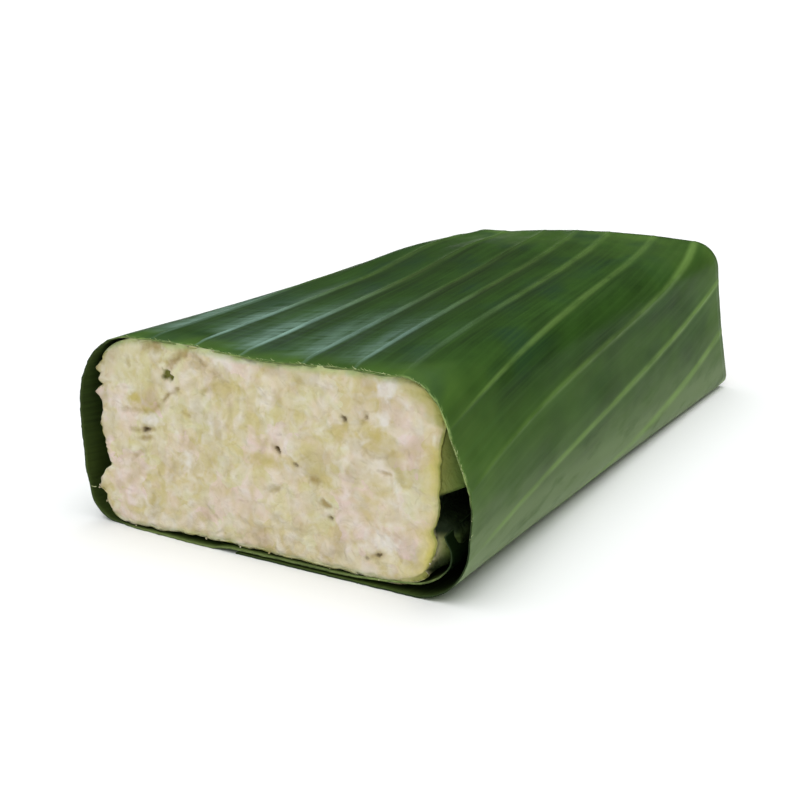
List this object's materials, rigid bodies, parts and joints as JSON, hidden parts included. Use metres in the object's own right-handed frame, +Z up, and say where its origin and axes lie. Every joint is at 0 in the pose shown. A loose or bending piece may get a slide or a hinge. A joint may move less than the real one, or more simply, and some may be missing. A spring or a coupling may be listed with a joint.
{
  "type": "tempeh cake in a banana leaf",
  "caption": "Long rounded block of soybean tempeh wound in a green banana leaf, cut square across so that the pale bean face shows at the end.",
  "frame": {"origin": "on the surface the package lies on, under the middle of its length and width", "axes": "+Y back along the length, away from the cut face that shows, +X towards the loose side of the leaf, +Z up"},
  "size_m": [0.0836, 0.142, 0.0376],
  "materials": {
    "bean_cake": "matte pale cream, slightly moist cut face of beans bound by white mould",
    "leaf": "waxy dark green leaf with raised pale veins"
  },
  "bodies": {
    "root": {"tempeh_cake": "bean_cake", "banana_leaf": "leaf"}
  },
  "joints": []
}
